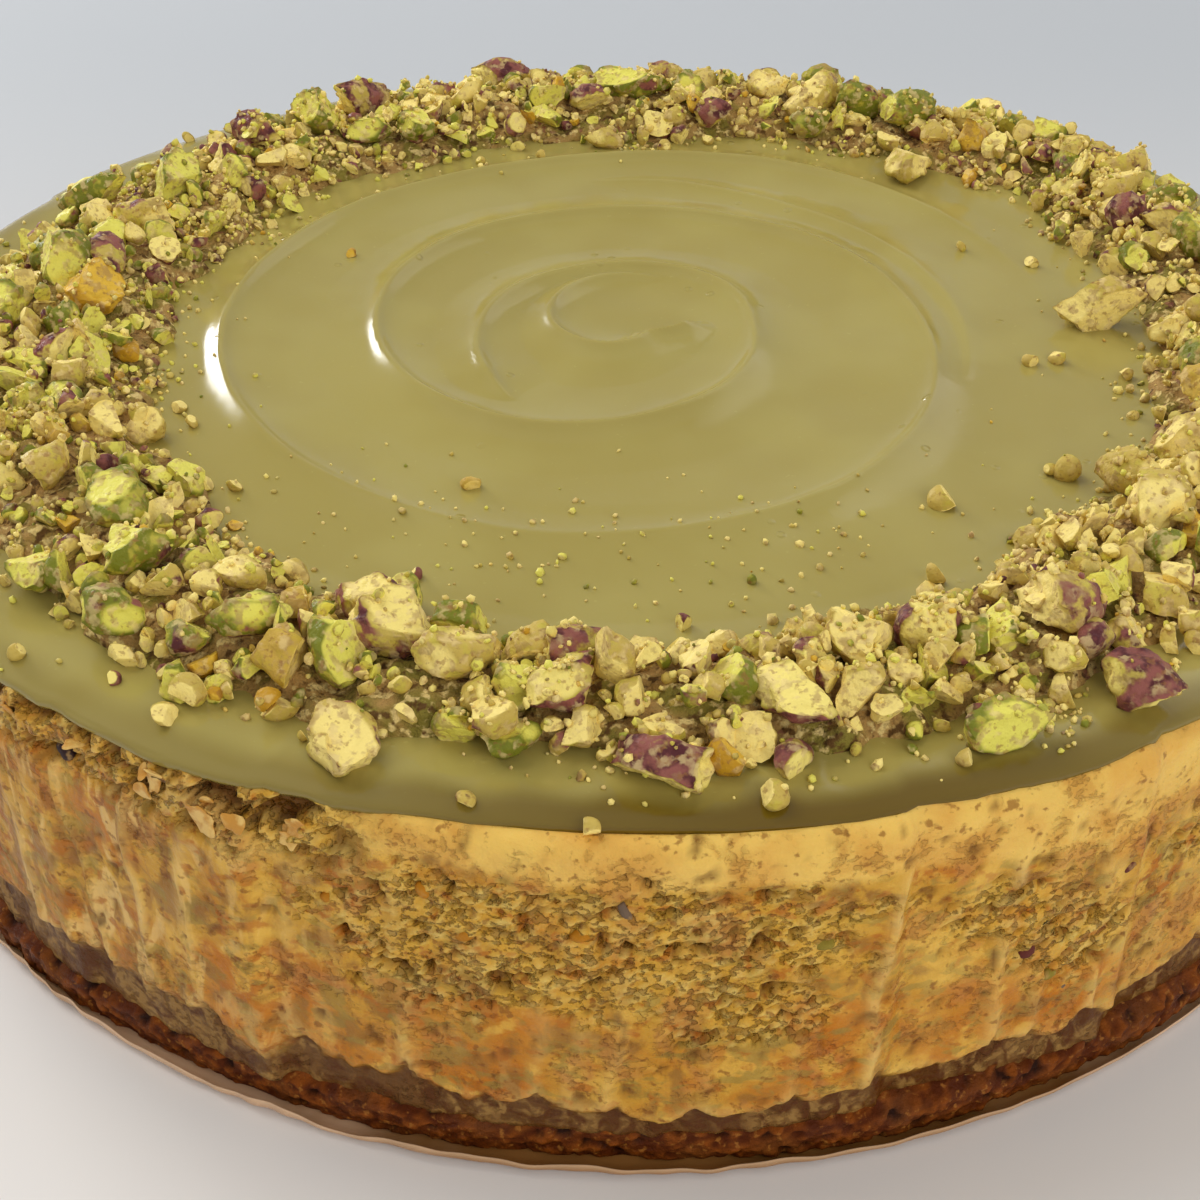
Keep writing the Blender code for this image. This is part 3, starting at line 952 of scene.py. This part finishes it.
def rotations(yaw, pitch, roll):
    """A rotation for each piece: roll about X, then pitch about Y, then yaw about Z."""
    cy, sy, cp, sp, cr, sr = (f(a) for a in (yaw, pitch, roll) for f in (np.cos, np.sin))
    rows = [
        [cy * cp, cy * sp * sr - sy * cr, cy * sp * cr + sy * sr],
        [sy * cp, sy * sp * sr + cy * cr, sy * sp * cr - cy * sr],
        [-sp, cp * sr, cp * cr],
    ]
    return np.moveaxis(np.array(rows), 2, 0)


def any_turns(random, count):
    return rotations(*(random.uniform(0, TURN, count) for _ in range(3)))


def kernel_form(rounds):
    """Pistachio kernels from balls of radius 1: long, blunt at one end, with a shallow groove."""
    x, y, z = np.moveaxis(rounds, 2, 0)
    taper = 1 - 0.16 * x - 0.10 * x ** 2
    groove = 1 - 0.09 * np.exp(-((y / 0.16) ** 2)) * (z > 0)
    return np.stack([x, y * taper, z * taper * groove], axis=-1)


def cut_flat(points, normals, distances):
    """Presses every point that lies past a plane back onto it, and returns how deep each was cut."""
    past = np.einsum("nmk,nk->nm", points, normals) - distances[:, None]
    past = np.maximum(past, 0)
    return points - past[..., None] * normals[:, None, :], past


def directions(vectors):
    return vectors / np.linalg.norm(vectors, axis=1, keepdims=True)


def on_plan(radius, angle):
    return np.stack([radius * np.cos(angle), radius * np.sin(angle)], axis=-1)


def ring_places(random, count, spill):
    """Places over the ring of nuts, denser towards its middle; spill lets them stray past its edges."""
    angle = random.uniform(0, TURN, count)
    share = random.beta(1.5, 1.5, count) * (1 + 2 * spill) - spill
    inner = nut_inner(angle) + 2 * MM
    outer = nut_outer(angle) - 2 * MM
    return on_plan(inner + share * (outer - inner), angle)


def joined_mesh(name, shapes, faces, turns, middles):
    """All the shapes, each turned and moved to its place, as one mesh."""
    points = np.einsum("nij,nmj->nmi", turns, shapes) + middles[:, None, :]
    count, size, _ = points.shape
    joined = (faces[None] + (np.arange(count) * size)[:, None, None]).reshape(-1, 3)
    return build_mesh(name, points.reshape(-1, 3), joined)


def settled_mesh(name, heap, shapes, faces, turns, places, settle):
    """Turns every piece and lets it land on the heap at the lowest of its places, in their order."""
    middles = np.zeros((len(shapes), 3))
    for index, (shape, turn) in enumerate(zip(shapes, turns)):
        middles[index] = heap.land(shape @ turn.T, places[index], settle)
    mesh = joined_mesh(name, shapes, faces, turns, middles)
    mesh.set_sharp_from_angle(angle=math.radians(38))
    return mesh, middles


# The larger pieces that stand out: place in degrees, share of the cake's radius, length in mm,
# the way it points in degrees, colour name
STANDOUTS = (
    (-87.6, 0.915, 12.0, -15, "purple"), (-96, 0.745, 6.8, 50, "purple"), (4, 0.625, 14.0, 5, "pale_purple"),
    (-57, 0.94, 10.5, -25, "purple"), (179, 0.71, 13.5, -20, "gold"), (157, 0.85, 12.5, -10, "green"),
    (104, 0.90, 15.0, 5, "purple"), (122, 0.83, 14.0, 35, "pink"), (63, 0.80, 10.5, 0, "green"),
    (52, 0.69, 12.5, 60, "cream"), (94, 0.66, 8.5, 0, "cream"), (-131, 0.80, 12.5, 30, "green"),
    (-147, 0.79, 11.5, 70, "cream"), (-63, 0.82, 9.5, 80, "green"), (-67, 0.93, 10.5, 10, "green"),
    (-107, 0.93, 12.5, -50, "pale_purple"), (90, 0.79, 15.5, 5, "green"), (43, 0.89, 11.0, 20, "green"),
    (-110, 0.69, 8.5, -40, "green"), (-103, 0.74, 9.0, 10, "green"), (-122, 0.765, 8.0, 0, "cream"),
    (-1, 0.71, 9.5, 35, "cream"), (-102, 0.81, 10.5, 15, "cream"), (-127, 0.88, 9.5, 10, "green"),
    (-118, 0.82, 10.0, 15, "green"), (-80, 0.91, 6.8, 60, "purple"), (136, 0.80, 12.0, -30, "pink"),
    (-75, 0.86, 9.0, 20, "cream"),
)

KERNELS = 96

# Broken faces of the kernels: which way each faces on average, and how far out it may lie, as shares
KERNEL_CUTS = (
    ((0, 0, 1), 0.25, 0.75), ((1, 0.2, 0), 0.40, 0.85), ((-0.6, 0.8, 0.3), 0.4, 0.9),
    ((0, -1, 0.4), 0.4, 0.95), ((-1, -0.2, 0.5), 0.5, 0.95),
)

# How purple, green and golden each named look is, from 0 to 1
LOOKS = {
    "purple": (1.0, 0.3, 0), "pale_purple": (0.55, 0.1, 0), "pink": (0.75, 0.2, 0),
    "green": (0.15, 0.9, 0), "cream": (0.0, 0.1, 0), "gold": (0.1, 0.4, 0.8),
    "yellow": (0, 0.15, 0.35),
}


def choose_looks(random, middles, chance):
    """A look for each piece; the left of the heap is greener than the rest."""
    names = list(LOOKS)
    cream, green, pink = (names.index(name) for name in ("cream", "green", "pink"))
    greener = np.array(chance)
    greener[[cream, green, pink]] += np.array([-0.6, 0.4, 0.2]) * chance[cream]
    left = bump(np.arctan2(middles[:, 1], middles[:, 0]), 185, 50)
    return [random.choice(names, p=greener if random.uniform() < share else chance) for share in left]


def add_nuts(mesh, dusty, random, cut, looks):
    """Adds a mesh of nuts with their depths of cut, a number for each nut, and their named looks."""
    size = cut.shape[1]
    each = np.repeat(random.uniform(0, 1, len(looks)), size)
    purple, green, gold = np.repeat([LOOKS[name] for name in looks], size, axis=0).T
    material = nut_material(mesh.name, dusty)
    add_piece(mesh, material, "nuts", cut=cut, each=each, purple=purple, green=green, gold=gold)


def kernel_shapes(random, long):
    """Kernels of given half lengths in mm, with the points' depths of cut and the triangles of one."""
    wide = np.minimum(long * random.uniform(0.56, 0.74, KERNELS), 4.4)
    tall = wide * random.uniform(0.75, 1.0, KERNELS)
    sizes = np.stack([long, wide, tall], axis=-1) * MM
    shapes, faces = balls(4, np.ones((1, 3)))
    shapes = kernel_form(shapes) * sizes[:, None, :]
    depth = np.zeros(shapes.shape[:2])
    for mean, low, high in KERNEL_CUTS:
        normals = directions(np.array(mean) + random.normal(0, 0.5, (KERNELS, 3)))
        extent = np.linalg.norm(normals * sizes, axis=1)
        shapes, past = cut_flat(shapes, normals, random.uniform(low, high, KERNELS) * extent)
        depth = np.maximum(depth, past)
    seeds = random.uniform(-1, 1, (KERNELS, 1, 3))
    lumps = 0.17 * layered(shapes + seeds, 3.4, 111)
    crags = 0.07 * noise(shapes + seeds, 1.3, 115) * (1 + np.clip(depth / MM, 0, 1))
    return shapes * (1 + lumps + crags)[..., None], faces, depth


def whole_kernels(heap):
    """Whole kernels, halves and broken ends, lying at all angles on the heap."""
    random = np.random.default_rng(21)
    known = len(STANDOUTS)
    degrees, shares, lengths, pointing, names = zip(*STANDOUTS)
    long = random.uniform(4.0, 6.8, KERNELS)
    long[:known] = np.array(lengths) / 2
    shapes, faces, depth = kernel_shapes(random, long)
    yaw = random.uniform(0, TURN, KERNELS)
    yaw[:known] = np.radians(pointing)
    flipped = np.where(random.uniform(0, 1, KERNELS) < 0.4, math.pi, 0)
    flipped[:known] = [math.pi if name in ("purple", "pink") else 0 for name in names]
    turns = rotations(yaw, random.normal(0, 0.28, KERNELS), random.normal(0, 0.55, KERNELS) + flipped)
    places = [[place] for place in on_plan(np.array(shares) * RADIUS, np.radians(degrees))]
    places += [ring_places(random, 5, 0.0) for _ in range(KERNELS - known)]
    mesh, middles = settled_mesh("whole_kernels", heap, shapes, faces, turns, places, 0.82)
    looks = choose_looks(random, middles, (0.12, 0.10, 0.10, 0.28, 0.36, 0.02, 0.02))
    looks[:known] = names
    add_nuts(mesh, 0.55, random, depth / (2.0 * MM), looks)


def broken_pieces(random, levels, sizes, cuts, nearest, farthest):
    """Balls with flat broken faces at shares of their least half size, and how deep each point was cut."""
    shapes, faces = balls(levels, sizes)
    depth = np.zeros(shapes.shape[:2])
    for _ in range(cuts):
        level = random.uniform(nearest, farthest, len(sizes)) * sizes.min(axis=1)
        shapes, past = cut_flat(shapes, directions(random.normal(size=sizes.shape)), level)
        depth = np.maximum(depth, past)
    return shapes, faces, depth


def chopped(name, heap, levels, seed, count, low, high, cuts, spill, settle):
    """Kernels chopped into pieces from low to high mm, which keep some of their rounded outside."""
    random = np.random.default_rng(seed)
    size = np.sort(low + (high - low) * random.beta(1.2, 2.2, count))[::-1]
    sizes = size[:, None] * random.uniform(0.62, 1.0, (count, 3)) * MM
    shapes, faces, depth = broken_pieces(random, levels, sizes, cuts, nearest=0.12, farthest=0.75)
    shapes = roughened(random, shapes, 0.22, 1.9, seed, 2)
    turns = any_turns(random, count)
    places = [ring_places(random, 5, spill) for _ in range(count)]
    mesh, middles = settled_mesh(name, heap, shapes, faces, turns, places, settle)
    looks = choose_looks(random, middles, (0.08, 0.08, 0.07, 0.23, 0.50, 0.02, 0.02))
    add_nuts(mesh, 0.5, random, depth / (size[:, None] * 0.28 * MM), looks)


def nut_material(name, dusty):
    """Green or cream outside with plum skin left on it, pale flesh where it is cut, and powder over all."""
    shader = Shader(name, (208, 178, 88), 0.6, 0.3)
    each, cut, green, gold = (shader.mask(mask) for mask in ("each", "cut", "green", "gold"))
    patch = shader.noise(3.6, 4, offset=shader.times(each, 40.0))
    edge = shader.noise(2.2, offset=shader.times(each, 90.0))
    powder = shader.noise(1.5, offset=shader.times(each, 15.0))
    shader.paint(green, (106, 116, 22))
    shader.paint_where(edge, 0.50, 0.62, (200, 184, 70), 0.7)
    shader.paint(gold, (196, 140, 18))
    outside = shader.colour
    plum = shader.mix(shader.ramp(edge, 0.4, 0.6), (86, 40, 42), (146, 86, 76))
    skin = shader.plus(shader.times(shader.mask("purple"), 0.30), patch)
    shader.paint_where(skin, 0.62, 0.70, plum)
    shader.paint_where(cut, 0.02, 0.12, outside)
    flesh = shader.mix(gold, shader.mix(green, (252, 226, 136), (226, 218, 90)), (220, 168, 26))
    shader.paint_where(cut, 0.08, 0.40, flesh)
    powder_tone = shader.mix(shader.ramp(edge, 0.42, 0.58), (232, 204, 142), (158, 120, 86))
    shader.paint_where(powder, 0.49, 0.60, powder_tone, dusty)
    shader.paint_where(shader.noise(0.9, 2), 0.58, 0.70, (148, 100, 54), 0.55)
    shader.add_bump(shader.plus(powder, shader.times(shader.noise(0.7), 0.6)), 0.45 * MM, 0.8)
    return shader.finish(shader.ramp(powder, 0.4, 0.6, 0.45, 0.75))


# Grains of dust: in clumps, sprinkled over the ring, strayed past it, and specks on the front of the cream
CLUMPS = 170
CLUMPED = 3300
SPRINKLED = 1500
STRAYS = 300
SPECKS = 170


def pistachio_dust(heap):
    """The finest crumbs: most in clumps on the heap, some scattered on the cream on both sides of it."""
    random = np.random.default_rng(51)
    clumps = ring_places(random, CLUMPS, 0.02)
    clumped = clumps[random.choice(CLUMPS, CLUMPED)] + random.normal(0, 2.6 * MM, (CLUMPED, 2))
    turn = np.radians(random.normal(-88, 28, SPECKS))
    specks = on_plan(RADIUS * random.normal(0.55, 0.075, SPECKS), turn)
    strays = ring_places(random, STRAYS, 0.42)
    places = np.concatenate([clumped, ring_places(random, SPRINKLED, 0.10), strays, specks])
    count = len(places)
    size = (0.24 + 0.72 * random.beta(1.0, 2.8, count)) * MM
    size[-STRAYS - SPECKS:] *= 0.7
    shapes, faces = balls(1, size[:, None] * random.uniform(0.6, 1.2, (count, 3)))
    shapes = shapes * (1 + random.uniform(-0.25, 0.25, shapes.shape[:2]))[..., None]
    height = heap.top[heap.cells(*places.T)]
    kept = height > CREAM_TOP - 3.5 * MM
    middles = np.concatenate([places, (height + 0.35 * size)[:, None]], axis=1)[kept]
    mesh = joined_mesh("pistachio_dust", shapes[kept], faces, any_turns(random, count)[kept], middles)
    cut = random.uniform(0, 0.9, (len(middles), 1)) + np.zeros((1, shapes.shape[1]))
    looks = choose_looks(random, middles, (0.10, 0.08, 0.12, 0.24, 0.42, 0.02, 0.02))
    add_nuts(mesh, 0.6, random, cut, looks)


# Loose pieces lying clear of the heap: place in degrees, share of the radius, size in mm, colour name
LOOSE = (
    (-115.6, 0.43, 2.7, "yellow"), (-76.9, 0.59, 2.1, "green"), (149.2, 0.465, 2.2, "gold"),
    (-48.8, 0.55, 4.6, "cream"), (-7.2, 0.52, 2.6, "cream"), (-5.8, 0.555, 2.8, "cream"),
    (30.8, 0.55, 2.2, "cream"), (-99.0, 0.962, 3.0, "cream"), (-81.9, 0.955, 4.6, "cream"),
    (-118.6, 0.95, 3.8, "cream"), (-118.3, 0.917, 4.6, "cream"), (-124.0, 0.93, 2.2, "purple"),
    (-154.7, 0.653, 4.6, "cream"), (-34.0, 0.62, 3.8, "cream"), (-59.9, 0.66, 3.4, "cream"),
    (-85.1, 0.665, 3.0, "purple"), (-92.0, 0.985, 2.7, "cream"), (-70.0, 0.945, 2.8, "cream"),
    (-112.0, 0.62, 2.6, "purple"), (-107.5, 0.955, 2.6, "cream"),
)


def loose_pieces(heap):
    random = np.random.default_rng(61)
    rows = list(LOOSE)
    for _ in range(26):
        place = random.uniform(-40, 230)
        rows.append((place, random.choice((0.60, 0.95)) + random.normal(0, 0.02), 2.6, "cream"))
    degrees, shares, lengths, names = zip(*rows)
    size = np.array(lengths) / 2 * MM
    sizes = size[:, None] * random.uniform(0.6, 1.1, (len(rows), 3))
    shapes, faces, depth = broken_pieces(random, 3, sizes, cuts=3, nearest=0.5, farthest=0.9)
    shapes = roughened(random, shapes, 0.10, 1.5, 63, 2)
    turns = any_turns(random, len(rows))
    places = on_plan(np.array(shares) * RADIUS, np.radians(degrees))[:, None, :]
    mesh, _ = settled_mesh("loose_pieces", heap, shapes, faces, turns, places, 0.6)
    add_nuts(mesh, 0.2, random, depth / (0.3 * MM), names)


def nut_pieces():
    heap = Heap()
    bed_piece(heap)
    whole_kernels(heap)
    larger = {"levels": 3, "seed": 31, "count": 430, "low": 1.8, "high": 4.4}
    finer = {"levels": 2, "seed": 41, "count": 1150, "low": 0.7, "high": 2.0}
    chopped("chopped_pistachios", heap, **larger, cuts=4, spill=0.03, settle=0.75)
    chopped("pistachio_bits", heap, **finer, cuts=3, spill=0.10, settle=0.6)
    loose_pieces(heap)
    pistachio_dust(heap)


# ---- stage, light and camera

BACKDROP_BEND = 0.8


def stage():
    """A pale floor that curves up behind into a pale backdrop, painted darker towards the back as painted
    shade.
    """
    half = 2.5
    turn = np.linspace(0, math.pi / 2, 13)
    depth = [-2.0, *(1.0 + BACKDROP_BEND * np.sin(turn)), 1.8]
    rise = [0.0, *(BACKDROP_BEND * (1 - np.cos(turn))), 3.0]
    points = [(x, y, z) for y, z in zip(depth, rise) for x in (-half, half)]
    faces = [(2 * i, 2 * i + 1, 2 * i + 3, 2 * i + 2) for i in range(len(depth) - 1)]
    mesh = bpy.data.meshes.new("stage")
    mesh.from_pydata(points, [], faces)
    mesh.shade_smooth()
    shader = Shader("stage", (224, 221, 217), 0.7)
    shader.paint_where(shader.noise(500, 2), 0.3, 0.7, (228, 225, 221))
    # Painted shade: the floor and backdrop are painted darker and greyer farther back.
    painted_falloff = shader.node("SeparateXYZ", Vector=shader.place()).outputs["Y"]
    shader.paint_where(painted_falloff, -0.1, 0.3, (184, 187, 190))
    mesh.materials.append(shader.finish())
    add_object("stage", mesh)


def area_light(name, azimuth, elevation, distance, size, watts, mirrored=True):
    """A soft white disc of light that faces the cake, its direction in degrees and the rest in metres."""
    data = bpy.data.lights.new(name, "AREA")
    data.shape = "DISK"
    data.size = size
    data.energy = watts
    lamp = add_object(name, data)
    turn = math.radians(azimuth)
    lift = math.radians(elevation)
    lamp.location = around(distance * math.cos(lift), turn, distance * math.sin(lift) + CREAM_TOP)
    lamp.rotation_euler = (math.pi / 2 - lift, 0, turn + math.pi / 2)
    lamp.visible_glossy = mirrored


def light():
    world = bpy.data.worlds.new("studio")
    world.use_nodes = True
    background = world.node_tree.nodes["Background"]
    background.inputs["Color"].default_value = (1, 1, 1, 1)
    background.inputs["Strength"].default_value = 0.45
    bpy.context.scene.world = world
    area_light("window", 132, 15, 1.6, 0.52, 9)
    area_light("sky", 142, 50, 1.6, 1.5, 15, mirrored=False)
    area_light("room", 55, 24, 2.2, 2.2, 9)
    area_light("fill", -58, 26, 1.6, 1.3, 11, mirrored=False)


def camera():
    """Close above the near edge of the cake, looking down at it across the swirl."""
    data = bpy.data.cameras.new("camera")
    data.sensor_width = 36
    data.lens = 60
    view = add_object("camera", data)
    view.location = (0, -2.378 * RADIUS, CREAM_TOP + 1.216 * RADIUS)
    view.rotation_euler = (math.radians(90 - 34.7), 0, math.radians(1.0))
    bpy.context.scene.camera = view


camera()
light()
stage()
filling_piece()
rim_flakes()
baked_nuts()
crust_piece()
paper_piece()
cream_piece()
nut_pieces()
bpy.context.scene.view_settings.view_transform = "Standard"
